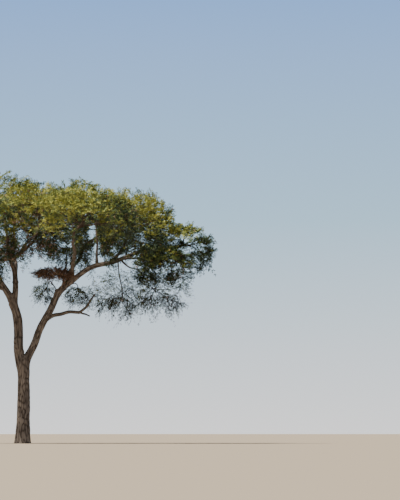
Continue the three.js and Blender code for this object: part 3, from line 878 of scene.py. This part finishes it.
planNames = ("dense", "ring", "veil", "weeping", "wispy", "bare")
planTable = dict(
    arms=(8, 8, 8, 9, 7, 9),
    padsPerArea=(1.2, 1.2, 4.4, 4.4, 6.5, 18),
    onTop=(0.48, 0.68, -0.1, -0.2, 0.1, 0.1),
    deepest=(0.5, 0.5, 0.25, 0.3, 0.3, 0.2),
    shell=(0.84, 0.84, 0.25, 0.45, 0.25, 0.4),  # the share of pads at the surface
    fans=(8, 8, 7, 6, 5, 8),
    fanLength=(0.48, 0.48, 0.4, 0.38, 0.28, 0.26),
    tufts=(8, 8, 5, 3, 4, 4),
    droop=(0.0, 0.0, 0.15, 0.35, 0.5, 0.1),
    flat=(0.8, 0.8, 0.3, 0.1, 0.1, 0.3),
    slack=(0.08, 0.18, 0.12, 0.25, 0.08, 0.06),  # how far twigs may leave their room
    shapes=((0, 5), (0, 5), (4, 9), (4, 9), (5, 9), (5, 9)),  # the first shape of tuft, and past the last
    tuftSize=(1.05, 1.05, 0.85, 0.72, 0.7, 0.6),
    spikes=(0.12, 0.12, 0.0, 0.0, 0.0, 0.1),  # the share of twigs that stand up
    skirt=(30, 30, 60, 40, 8, 16),  # loose strands below the lowest pads
    skirtLength=(0.8, 0.8, 0.6, 0.45, 0.25, 0.22),
    skirtTufts=(6, 6, 6, 4, 4, 3),
)
plans = {name: {key: row[i] for key, row in planTable.items()} for i, name in enumerate(planNames)}
# How much fuller than their plan some masses are
fullness = dict(
    under_right=2.2, mid_front=1.5, low_left=2.0, tip_right=1.3, left=1.15, under_inner=0.8, weep_mid=1.3)
# Leafy boughlets that hang from some masses: how many, and how long
hangings = dict(
    right=(120, 1.55), mid_front=(34, 1.4), low_left=(26, 1.1), inner_right=(36, 1.8),
    under_right=(26, 0.9), under_inner=(14, 1.2), tip_right=(16, 0.8))

# Below, a rise goes from 1, straight up, to -1, straight down. Angles are degrees. Pairs are the two
# ends of a range, and for bow and for lift in tufts, a middle and a spread.
armRule = dict(points=9, sides=6, wobble=0.03, turn=0.8, bend=0.4, girth=0.5)
boughletRule = dict(
    points=6, sides=3, wobble=0.015, turn=0.3, bend=0.45, lift=0.25,
    fewest=8,
    lowest=-0.85, favouredFrom=0.3,  # the rise of the lowest pads, and of the favoured ones
    outerDepth=0.08, innerDepth=0.85,
    surface=(0.93, 1.01),  # how near the edge of its room a pad gets, at the sides and on top
    detour=(1.3, 0.6),  # what a metre to an arm costs, and how much less of it straight ahead
    tooNear=0.25, tooNearCost=2.0,
    radius=0.011, ofArm=0.7,  # at its root, and at most in its arm's radius
    growth=(0.8, 0.5),  # its radius in the above, at no length and for each metre more
    scatter=0.6, spreading=(1, 1, 0.2),
)
fanRule = dict(
    points=3, sides=3, radii=(0.0055, 0.0022),  # at the root and at the tip
    start=0.40, stray=0.6,
    angles=(80, 12), closing=1.5,  # off the boughlet, where the fan begins and ends
    level=(1, 1, 0.4), outward=0.7, lean=0.28, roll=0.14,
    lift=0.1, lifts=(0.32, 0.18),  # in its pad's flatness, and the spread in none and in full
    spike=0.9, fall=0.6, lengths=(0.70, 1.20),
)
strandRule = dict(
    underside=0.30,  # the share of a mass's pads, from the lowest, that strands hang from
    stray=0.35, lengths=(0.6, 1.5),
    boughletStray=0.30, boughletLengths=(0.5, 1.3), boughletBend=0.10,
)
tuftRule = dict(
    twigGap=0.03, gap=0.04,  # that tips and tufts keep from limbs
    steep=-0.7,  # twigs that fall so steeply may leave their room
    bow=(0.05, 0.10), sag=0.25, sway=0.10,
    start=0.35, stray=0.5, last=0.98,
    angles=(35, 75), lastTurn=0.25, lift=(0.15, 0.40), fall=0.3, roll=0.5,
)


limbShares = {line: np.linspace(0, 1, max(4, round(line.length / 0.1)))
              for line in [*limbLines.values(), *deadLines.values()]}
limbTree = treeOf(np.concatenate([line.at(shares) for line, shares in limbShares.items()]))
limbRadii = np.concatenate([line.radiusAt(shares) for line, shares in limbShares.items()])


def clearOfLimbs(points, gap):
    found = [limbTree.find(point)[1:] for point in points]
    return np.array([distance - limbRadii[index] for index, distance in found]) > gap


# Turns the ups square to the ways.
def squareTo(ways, ups):
    return unit(ups - ways * dots(ups, ways)[:, None])


# Ways turned aside by the angles, lifted and let fall.
def fanned(ways, side, ups, angle, lift, fall):
    return unit(ways[:, None] * np.cos(angle)[..., None] + side[:, None] * np.sin(angle)[..., None]
                + ups[:, None] * lift[..., None] - (0, 0, fall))


# Points along many bent strands at once, each from start past bend to end.
def bentPaths(start, bend, end, rule, rng):
    t = np.linspace(0, 1, rule["points"])[:, None]
    paths = bent(t, start[:, None], bend[:, None], end[:, None])
    return paths + rng.normal(0, rule["wobble"], paths.shape) * np.sin(math.pi * t)


# Where strands bend that leave one way and turn to their ends, and how far they span
def bendsFor(roots, leave, ends, rule):
    away = ends - roots
    span = np.linalg.norm(away, axis=1, keepdims=True)
    return roots + unit(leave + rule["turn"] * unit(away)) * rule["bend"] * span, span


def growArms(name, space, plan, rng):
    carrier = limbLines[masses[name]["limbName"]]
    tip, onward = carrier.at(1)[0], carrier.along(1)[0]
    radius = carrier.radii[1]
    hub = tip + (space.middle - tip) * habit["hub"]
    stem = BentLine(tip, tip + onward * habit["stemBend"] * np.linalg.norm(hub - tip), hub,
                    (radius, habit["stemTaper"] * radius))
    ways = space.ways(plan["arms"], habit["lowest"], 2 * math.pi * rng.random())
    ends = space.middle + ways * (habit["twigReach"] * space.reach(ways))[:, None]
    shares = habit["twigFrom"][0] + habit["twigFrom"][1] * rng.random(plan["arms"])
    roots = stem.at(shares)
    bends, _ = bendsFor(roots, stem.along(shares), ends, armRule)
    arms = bentPaths(roots, bends, ends, armRule, rng)
    along = np.linspace(0, 1, armRule["points"])
    thickest = armRule["girth"] * radius
    girth = mixed((thickest, armRule["girth"] * habit["twigTaper"] * radius), along)
    return [(stem.at(along), stem.radiusAt(along))] + [(path, girth) for path in arms], arms, girth


# A boughlet runs from the handiest place on an arm to the place of its pad. A share of the pads
# goes to the top, or where it is negative, to the underside.
def growBoughlets(space, plan, fuller, arms, girth, rng):
    rule = boughletRule
    joints = arms[:, 2:].reshape(-1, 3)
    onward = unit(np.gradient(arms, axis=1))[:, 2:].reshape(-1, 3)
    girths = np.tile(girth[2:], len(arms))
    area = 4 * math.pi * np.mean(space.reach(space.ways(count=400, lowest=-1, turn=0)) ** 2)
    count = max(rule["fewest"], round(area * plan["padsPerArea"] * fuller))
    onTop = round(plan["onTop"] * count)
    turns = 2 * math.pi * rng.random(2)
    favoured = space.ways(abs(onTop), rule["favouredFrom"], turns[1]) * (1, 1, np.sign(onTop))
    ways = np.concatenate([space.ways(count - abs(onTop), rule["lowest"], turns[0]), favoured])
    outer = rng.random(count) < plan["shell"]
    inner = mixed((plan["deepest"] ** 3, rule["innerDepth"]), rng.random(count)) ** (1 / 3)
    depth = np.where(outer, 1 - rule["outerDepth"] * rng.random(count), inner)
    surface = mixed(rule["surface"], np.clip(ways[:, 2], 0, 1))
    targets = space.middle + ways * (surface * depth * space.reach(ways))[:, None]
    away = targets[:, None] - joints
    apart = np.linalg.norm(away, axis=2)
    ahead = np.einsum("ijk,jk->ij", away, onward) / np.maximum(apart, 1e-6)
    cost = apart * (rule["detour"][0] - rule["detour"][1] * ahead)
    pick = (cost + np.where(apart < rule["tooNear"], rule["tooNearCost"], 0)).argmin(axis=1)
    roots = joints[pick]
    bends, span = bendsFor(roots, onward[pick], targets, rule)
    bends = bends + (0, 0, rule["lift"]) * span * plan["droop"]
    paths = bentPaths(roots, bends, targets, rule, rng)
    growth = rule["growth"][0] + rule["growth"][1] * span[:, 0]
    thick = np.minimum(rule["ofArm"] * girths[pick], rule["radius"] * growth)
    scatter = rng.normal(0, rule["scatter"], (count, 3)) * rule["spreading"]
    return paths, thick, unit((targets - space.middle) * rule["spreading"] + scatter)


# Twigs that fan out of the far half of each boughlet, close to the plane of its pad.
def growFans(plan, paths, outward, rng):
    rule = fanRule
    pads, fans = len(paths), plan["fans"]
    last = paths.shape[1] - 1
    arriving = unit(paths[:, -1] - paths[:, -3])
    forward = unit(arriving * rule["level"] + rule["outward"] * outward + (0, 0, -plan["droop"]))
    up = squareTo(forward, (0, 0, 1) + rule["lean"] * outward + rng.normal(0, rule["roll"], (pads, 3)))
    steps = np.arange(fans) + rule["stray"] * rng.random((pads, fans))
    share = rule["start"] + (1 - rule["start"]) * steps / fans
    spot = share * last
    low = np.minimum(spot.astype(int), last - 1)
    rows = np.arange(pads)[:, None]
    roots = mixed((paths[rows, low], paths[rows, low + 1]), (spot - low)[..., None])
    angle = np.radians(mixed(rule["angles"], share ** rule["closing"])) * np.where(np.arange(fans) % 2, 1, -1)
    lift = rng.normal(rule["lift"] * plan["flat"], mixed(rule["lifts"], plan["flat"]), angle.shape)
    lift += np.where(rng.random(angle.shape) < plan["spikes"], rule["spike"], 0)
    fall = rule["fall"] * plan["droop"]
    ways = fanned(forward, np.cross(up, forward), up, angle, lift, fall)
    ups = np.broadcast_to(up[:, None], ways.shape)
    lengths = plan["fanLength"] * mixed(rule["lengths"], rng.random(angle.shape))
    return roots.reshape(-1, 3), ways.reshape(-1, 3), ups.reshape(-1, 3), lengths.ravel()


# Places on the lowest of the boughlets, for strands to hang from
def lowPlaces(paths, heights, first, count, rng):
    lowest = np.argsort(heights)[:math.ceil(strandRule["underside"] * len(paths))]
    return paths[rng.choice(lowest, count), rng.integers(first, paths.shape[1], count)]


def growSkirt(plan, paths, rng):
    roots = lowPlaces(paths, paths[:, -1, 2], 3, plan["skirt"], rng)
    ways = unit(rng.normal(0, strandRule["stray"], roots.shape) + (0, 0, -1))
    ups = unit(np.cross(ways, rng.normal(0, 1, roots.shape)))
    return roots, ways, ups, plan["skirtLength"] * mixed(strandRule["lengths"], rng.random(len(roots)))


# Boughlets that hang from the lowest pads and carry twigs of their own.
def growHanging(space, count, length, paths, rng):
    roots = lowPlaces(paths, (paths[:, -1] - space.middle) @ space.axes[2], 2, count, rng)
    falls = unit(rng.normal(0, strandRule["boughletStray"], roots.shape) + (0, 0, -1))
    falls = falls * length * rng.uniform(*strandRule["boughletLengths"], (count, 1))
    bends = roots + 0.5 * falls + rng.normal(0, strandRule["boughletBend"], roots.shape)
    hanging = bentPaths(roots, bends, roots + falls, boughletRule, rng)
    outward = unit(rng.normal(0, 1, roots.shape) * boughletRule["spreading"])
    return hanging, growFans(plans["veil"], hanging, outward, rng)


# Lays the twigs and sets tufts along them, alternately to both sides and one at the tip.
def leafyTwigs(space, plan, growth, count, rng, loose=False):
    rule = tuftRule
    roots, ways, ups, lengths = growth
    tips = roots + ways * lengths[:, None]
    keep = clearOfLimbs(tips, rule["twigGap"]) & outsideGaps(tips) & insideFrame(tips)
    if not loose:
        keep &= space.contains(roots, plan["slack"])
        keep &= space.contains(tips, plan["slack"]) | (ways[:, 2] < rule["steep"])
    roots, ways, ups, lengths = (values[keep] for values in growth)
    ups = squareTo(ways, ups)
    side = np.cross(ups, ways)
    bend = ups * (rng.normal(*rule["bow"], (len(roots), 1)) - rule["sag"] * plan["droop"])
    bend = bend + side * rng.normal(0, rule["sway"], (len(roots), 1))

    def pointAt(t):
        t = t[..., None]
        return roots[:, None] + lengths[:, None, None] * (ways[:, None] * t + bend[:, None] * t * t)

    paths = pointAt(np.linspace(0, 1, fanRule["points"])[None])
    radii = np.linspace(*fanRule["radii"], fanRule["points"])
    t = (np.arange(count) + rule["start"] + rule["stray"] * rng.random((len(roots), count))) / count
    t[:, -1] = rule["last"]
    hand = np.where((np.arange(count) + rng.integers(0, 2, (len(roots), 1))) % 2, 1.0, -1.0)
    angle = hand * np.radians(rng.uniform(*rule["angles"], t.shape))
    angle[:, -1] *= rule["lastTurn"]
    lift, fall = rng.normal(*rule["lift"], t.shape), rule["fall"] * plan["droop"]
    tuftWays = fanned(ways, side, ups, angle, lift, fall)
    tuftUps = ups[:, None] + rng.normal(0, rule["roll"], tuftWays.shape)
    tufts = [part.reshape(-1, 3) for part in (pointAt(t), tuftWays, tuftUps)]
    return [(path, radii) for path in paths], tufts


# Openings where the sky shows through the crown, each an upright ellipse as the camera sees it:
# its middle's X and Z, then half its width and height.
skyGaps = [(3.57, 10.97, 0.22, 0.50), (3.75, 10.10, 0.14, 0.35), (8.62, 9.99, 0.42, 0.09)]


def insideFrame(points):
    low, high = cadBox
    over = habit["overFrame"]
    return np.all((points > np.array(low) - over) & (points < np.array(high) + over), axis=-1)


def outsideGaps(points):
    eye = np.array(view["camera"])
    nearness = -eye[1] / (points[:, 1] - eye[1])
    x = eye[0] + (points[:, 0] - eye[0]) * nearness
    z = eye[2] + (points[:, 2] - eye[2]) * nearness
    clear = np.ones(len(points), bool)
    for gapX, gapZ, halfWidth, halfHeight in skyGaps:
        clear &= ((x - gapX) / halfWidth) ** 2 + ((z - gapZ) / halfHeight) ** 2 > 1
    return clear


def eulersFor(ways, ups):
    ups = squareTo(ways, ups)
    across = np.cross(ups, ways)
    return np.stack([np.arctan2(across[:, 2], ups[:, 2]), np.arcsin(np.clip(-ways[:, 2], -1, 1)),
                     np.arctan2(ways[:, 1], ways[:, 0])], axis=1)


# Tufts of leaves. The first shapes are full, and the later ones are sparse.

tuft = dict(
    shapes=[5, 5, 6, 5, 4, 4, 4, 4, 3],  # blades on each shape
    length=0.100, stalk=0.005, stalkShare=0.9, bow=0.08,
    bladeLength=0.100, bladeWidth=0.034, fold=0.22, widest=0.45,
    angles=(35, 80), lift=(0.15, 0.35), roll=0.35, bladeSizes=(0.8, 1.15),
    lastAt=0.86, lastStray=0.2,
    sizeRange=0.25,
)


def tuftMesh(number, blades):
    rng = np.random.default_rng(500 + number)
    corners, faces = [], []
    length = tuft["length"]
    bow = rng.normal(0, tuft["bow"])

    def stalkAt(share):
        return np.array([share * length, bow * length * share * share, 0])

    def addBlade(root, way, size):
        way = unit(way)
        up = (0, 0, 1) + rng.normal(0, tuft["roll"], 3)
        up = unit(up - way * up.dot(way))
        side = np.cross(up, way)
        long, half = tuft["bladeLength"] * size, tuft["bladeWidth"] * size / 2
        middle = root + way * tuft["widest"] * long + up * tuft["fold"] * half
        first = len(corners)
        corners.extend([root, middle + side * half, root + way * long, middle - side * half])
        faces.extend([(first, first + 2, first + 1), (first, first + 3, first + 2)])

    for i in range(blades - 1):
        angle = (1 if i % 2 else -1) * math.radians(rng.uniform(*tuft["angles"]))
        way = np.array([math.cos(angle), math.sin(angle), rng.normal(*tuft["lift"])])
        addBlade(stalkAt((i + 0.5) / blades), way, rng.uniform(*tuft["bladeSizes"]))
    addBlade(stalkAt(tuft["lastAt"]), np.array([1, *rng.normal(0, tuft["lastStray"], 2)]), 1.0)
    first = len(corners)
    half = (0, tuft["stalk"] / 2, 0)
    corners.extend([stalkAt(0) - half, stalkAt(0) + half, stalkAt(tuft["stalkShare"])])
    faces.append((first, first + 1, first + 2))
    return newMesh(f"tuft{number}", corners, faces=faces)


def tuftCollection():
    collection = bpy.data.collections.new("tufts")
    bpy.context.scene.collection.children.link(collection)
    for number, blades in enumerate(tuft["shapes"]):
        mesh = tuftMesh(number, blades)
        collection.objects.link(bpy.data.objects.new(mesh.name, mesh))
    return collection


# Base colours of the leaves, dealt out by tuft. The sunlit gold is painted sunlight and the shaded deep green
# is painted shade: lit and shaded copies of the leaf colour.
tints = dict(
    gold=(0.330, 0.338, 0.068),
    olive=(0.162, 0.205, 0.056),
    green=(0.072, 0.116, 0.042),
    deep=(0.023, 0.041, 0.020),
    grey=(0.110, 0.126, 0.084),
    brown=(0.200, 0.122, 0.083),
)
leafFinishes = {name: plainShader(f"{name}Leaf", color, roughness=0.6, specular=0.25)
                for name, color in tints.items()}
twigFinish = plainShader("twigBark", (0.060, 0.043, 0.034), roughness=0.9, specular=0.2)


# Sets a tuft on every point, turned as the point says, and paints each by its tint's number.
def tuftTree():
    tree, given = newTree("leafTufts", [
        ("Tufts", "Collection", None),
        ("Size", "Float", 1.0), ("Size Range", "Float", 0.2), ("Seed", "Int", 0),
        *[(label, "Material", None) for label in tints],
    ])
    shapes = outputOf(tree, "GeometryNodeCollectionInfo",
                      {"Collection": given["Tufts"], "Separate Children": True, "Reset Children": True})
    turn = outputOf(tree, "FunctionNodeEulerToRotation", {"Euler": namedField(tree, "turn", "FLOAT_VECTOR")})
    sizes = {0: given["Size"], 1: given["Size Range"]}
    size = outputOf(tree, "FunctionNodeRandomValue", {
        "Min": outputOf(tree, "ShaderNodeMath", sizes, operation="SUBTRACT"),
        "Max": outputOf(tree, "ShaderNodeMath", sizes, operation="ADD"),
        "Seed": given["Seed"],
    }, "Value", data_type="FLOAT")
    tufts = outputOf(tree, "GeometryNodeInstanceOnPoints", {
        "Points": given["Geometry"], "Instance": shapes, "Pick Instance": True,
        "Instance Index": namedField(tree, "shape", "INT"), "Rotation": turn, "Scale": size,
    })
    geometry = outputOf(tree, "GeometryNodeRealizeInstances", {"Geometry": tufts})
    tint = namedField(tree, "tint", "INT")
    for number, label in enumerate(tints):
        chosen = outputOf(tree, "FunctionNodeCompare", {"A": tint, "B": number},
                          data_type="INT", operation="EQUAL")
        geometry = outputOf(tree, "GeometryNodeSetMaterial",
                            {"Geometry": geometry, "Selection": chosen, "Material": given[label]})
    return giveResult(tree, geometry)


tuftNodes = tuftTree()
tuftShapes = tuftCollection()

# How much of each tint a mass gets, in the tints' order. Painted sunlight and shade shift it, by height and
# by the side towards the sun, and a slow drift of colour shifts it too.
palettes = dict(
    dense=(0.16, 0.25, 0.27, 0.28, 0.02, 0.02),
    paintedSunlit=(0.33, 0.25, 0.22, 0.16, 0.02, 0.02),
    shade=(0.01, 0.07, 0.30, 0.53, 0.04, 0.05),
    drying=(0.13, 0.20, 0.22, 0.18, 0.02, 0.25),
    cool=(0.08, 0.20, 0.33, 0.35, 0.02, 0.02),
    veil=(0.01, 0.15, 0.30, 0.22, 0.29, 0.03),
    weeping=(0.02, 0.12, 0.26, 0.32, 0.24, 0.04),
    wispy=(0.02, 0.14, 0.26, 0.28, 0.26, 0.04),
    bare=(0.0, 0.0, 0.0, 0.02, 0.04, 0.94),
)
# Painted light for whole masses: the sunlit palette lifts a mass towards the sunlit gold, and the shade
# palette darkens the underside mass with shaded deep green.
massPalettes = dict(
    right="paintedSunlit", low_left="paintedSunlit", inner_right="cool", tip_right="cool", under_right="shade",
    mid_front="drying", inner_front_right="drying")
shading = dict(
    # Painted light: a sunlit place gets more sunlit gold and olive, and a shaded place gets more shaded deep
    # green and brown.
    pulls=(2.3, 0.9, 0.0, -2.2, 0.0, -1.2),  # how each tint answers to a sunny place
    up=0.35, sunward=1.2,
    drifts=(((1.9, 1.9, 1.0), 2.4), ((0.55, 0.55, 0.18), 1.3)),  # grain of a slow change, and strength
)


def dealTints(points, name, rng):
    space = spaces[name]
    palette = massPalettes.get(name, masses[name]["plan"])
    weights = np.tile(palettes[palette], (len(points), 1))
    away = (points - space.middle) / space.size
    # Painted light: how sunlit a place is, from its height in its mass and how far it lies towards the sun.
    paintedSunlight = shading["up"] * away[:, 2] + shading["sunward"] * away @ unit(np.array(view["sunFrom"]))
    for grain, strength in shading["drifts"]:
        paintedSunlight = paintedSunlight + strength * (noiseAt(points / grain + 20, seed=60) - 0.5)
    for tint, pull in enumerate(shading["pulls"]):
        weights[:, tint] *= np.exp(pull * np.clip(paintedSunlight, -1, 1))
    weights = np.cumsum(weights, axis=1)
    draw = rng.random(len(points)) * weights[:, -1]
    return (draw[:, None] > weights).sum(axis=1)


def makeLeaves(name, plan, tufts, rng):
    spots, ways, ups = tufts
    mesh = newMesh(f"leaves_{name}", spots)
    store(mesh, "turn", eulersFor(ways, ups), "FLOAT_VECTOR")
    store(mesh, "tint", dealTints(spots, name, rng), "INT")
    store(mesh, "shape", rng.integers(*plan["shapes"], len(spots)), "INT")
    piece = grownPiece(f"leaves_{name}", mesh, tuftNodes, {
        "Tufts": tuftShapes, "Size": plan["tuftSize"], "Size Range": tuft["sizeRange"] * plan["tuftSize"],
        "Seed": names.index(name), **leafFinishes,
    })
    attributes = piece.data.attributes
    for extra in ("turn", "tint", "shape"):
        attributes.remove(attributes[extra])
    return piece


def joined(pieces):
    with bpy.context.temp_override(active_object=pieces[0], selected_editable_objects=pieces):
        bpy.ops.object.join()
    return pieces[0]


def growMass(name):
    space, plan = spaces[name], plans["ring" if name in ringMasses else masses[name]["plan"]]
    rng = np.random.default_rng(100 + names.index(name))
    stemAndArms, arms, girth = growArms(name, space, plan, rng)
    paths, thick, outward = growBoughlets(space, plan, fullness.get(name, 1), arms, girth, rng)
    thin, tip = fanRule["radii"]
    taper = np.linspace(0, 1, boughletRule["points"])
    boughlets = [(path, mixed((radius, min(radius, thin)), taper)) for path, radius in zip(paths, thick)]
    fans, fanTufts = leafyTwigs(space, plan, growFans(plan, paths, outward, rng), plan["tufts"], rng)
    skirt, skirtTufts = leafyTwigs(space, plan, growSkirt(plan, paths, rng), plan["skirtTufts"], rng)
    fine, grown = fans + skirt, [fanTufts, skirtTufts]
    if name in hangings:
        hanging, growth = growHanging(space, *hangings[name], paths, rng)
        boughlets += [(path, mixed((thin, tip), taper)) for path in hanging]
        loose, looseTufts = leafyTwigs(space, plans["veil"], growth, plans["veil"]["tufts"], rng, loose=True)
        fine += loose
        grown.append(looseTufts)
    tufts = [np.concatenate(values) for values in zip(*grown)]
    keep = clearOfLimbs(tufts[0], tuftRule["gap"]) & outsideGaps(tufts[0])
    tufts = [values[keep] for values in tufts]
    twigs = joined([
        tubesAlong(f"twigs_{name}", stemAndArms, armRule["sides"], twigFinish),
        tubesAlong(f"boughlets_{name}", boughlets, boughletRule["sides"], twigFinish),
        tubesAlong(f"fans_{name}", fine, fanRule["sides"], twigFinish),
    ])
    return twigs, makeLeaves(name, plan, tufts, rng), len(tufts[0])


grown = {name: growMass(name) for name in names}
twigPieces, leafPieces, tuftCounts = zip(*grown.values())
report(f"{sum(tuftCounts)} tufts on {len(names)} masses, from {min(tuftCounts)} to {max(tuftCounts)} each")

for shape in list(tuftShapes.objects):
    bpy.data.objects.remove(shape)
bpy.data.collections.remove(tuftShapes)


def triangles(pieces):
    return [sum(len(face.vertices) - 2 for face in piece.data.polygons) for piece in pieces]


woodTriangles = triangles([barkPiece, branchPiece, deadPiece])
twigTriangles, leafTriangles = triangles(twigPieces), triangles(leafPieces)
report(f"triangles: wood {woodTriangles}, twigs {sum(twigTriangles)}, leaves {sum(leafTriangles)}, "
       f"most in one {max(leafTriangles)}")


# Every piece rides on the tree and stands for its solids

def dress(piece, slot, *solids):
    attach(piece, "root")
    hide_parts(*solids)


dress(barkPiece, "bark", *bark["limbs"])
dress(branchPiece, "bark", *branchNames)
dress(deadPiece, "dead_wood", "dead_limb")
leafSlots = dict(dense="foliage", bare="withered")
for name, (twigs, leaves, _) in grown.items():
    dress(twigs, "bark", f"foliage_{name}")
    dress(leaves, leafSlots.get(masses[name]["plan"], "shaded_foliage"), f"foliage_{name}")

report("pieces dressed")
